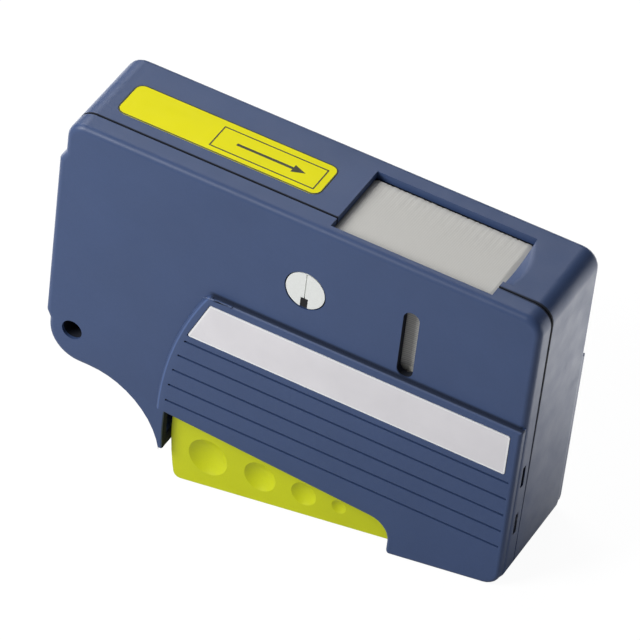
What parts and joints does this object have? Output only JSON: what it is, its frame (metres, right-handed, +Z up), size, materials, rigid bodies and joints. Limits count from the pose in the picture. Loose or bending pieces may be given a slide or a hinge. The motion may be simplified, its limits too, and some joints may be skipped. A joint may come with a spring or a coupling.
{
  "type": "fibre optic connector cleaner",
  "caption": "Hand-held reel cleaner for fibre connectors: flat two-shell case with a cloth window, squeeze lever and geared take-up reel.",
  "frame": {"origin": "centre of the foot's flat base, midway through the case's depth", "axes": "+Z up with the cleaner standing on its foot, +X along the case towards the foot's end, +Y from the front face with the grip panel and disc to the back"},
  "size_m": [0.1396, 0.0351, 0.1068],
  "materials": {
    "case_plastic": "satin blue moulding",
    "lever_plastic": "satin yellow-green moulding",
    "label_film": "yellow printed film",
    "strip_film": "pale satin film",
    "white_plastic": "white acetal",
    "dark_plastic": "dark moulding",
    "cloth": "fine woven micro-fibre",
    "felt": "dark felt",
    "foam": "closed-cell foam",
    "steel": "ground steel"
  },
  "bodies": {
    "case": {"front_shell": "case_plastic", "rear_shell": "case_plastic", "arrow_label": "label_film", "name_strip": "strip_film", "lever_pivot_pin": "steel", "lever_return_spring": "steel", "backstop_pawl": "dark_plastic", "supply_brake_washer": "felt", "guide_pin_left": "steel", "guide_pin_right": "steel", "pad_holder": "dark_plastic", "wiping_pad": "foam", "cleaning_cloth": "cloth"},
    "lever": {"lever": "lever_plastic"},
    "drive": {"drive_gear": "white_plastic", "drive_pawl": "dark_plastic"},
    "take_up_reel": {"take_up_shaft": "steel", "take_up_spool": "white_plastic", "take_up_roll": "cloth", "indicator_disc": "white_plastic"},
    "supply_reel": {"supply_spool": "white_plastic", "supply_roll": "cloth"},
    "left_roller": {"guide_roller_left": "white_plastic"},
    "right_roller": {"guide_roller_right": "white_plastic"}
  },
  "joints": [
    {"name": "lever_swing", "type": "hinge", "parent": "case", "child": "lever", "pos_m": [0.00578, 0, 0.00558], "axis": [0, 1, 0], "range_deg": [0, 13], "stiffness_Nm_per_rad": 0.9, "springref_deg": -14.32, "deforming": ["lever_return_spring"]},
    {"name": "drive_gear_turn", "type": "hinge", "parent": "case", "child": "drive", "pos_m": [-0.0338, 0, 0.07543], "axis": [0, 1, 0], "range_deg": [-103.06, 0]},
    {"name": "take_up_turn", "type": "hinge", "parent": "case", "child": "take_up_reel", "pos_m": [-0.0338, 0, 0.07543], "axis": [0, 1, 0], "range_deg": [-103.06, 0]},
    {"name": "supply_turn", "type": "hinge", "parent": "case", "child": "supply_reel", "pos_m": [-0.00892, 0, 0.04972], "axis": [0, 1, 0], "range_deg": [-32.96, 0]},
    {"name": "left_roller_turn", "type": "hinge", "parent": "case", "child": "left_roller", "pos_m": [-0.03278, 0, 0.08784], "axis": [0, 1, 0], "range_deg": [-274.54, 0]},
    {"name": "right_roller_turn", "type": "hinge", "parent": "case", "child": "right_roller", "pos_m": [0.02026, 0, 0.07766], "axis": [0, 1, 0], "range_deg": [-274.54, 0]}
  ],
  "couplings": [
    {"joint": "drive_gear_turn", "follows": "lever_swing", "ratio": -7.8889},
    {"joint": "take_up_turn", "follows": "lever_swing", "ratio": -7.8889},
    {"joint": "supply_turn", "follows": "lever_swing", "ratio": -2.4969},
    {"joint": "left_roller_turn", "follows": "lever_swing", "ratio": -21.08},
    {"joint": "right_roller_turn", "follows": "lever_swing", "ratio": -21.08}
  ]
}
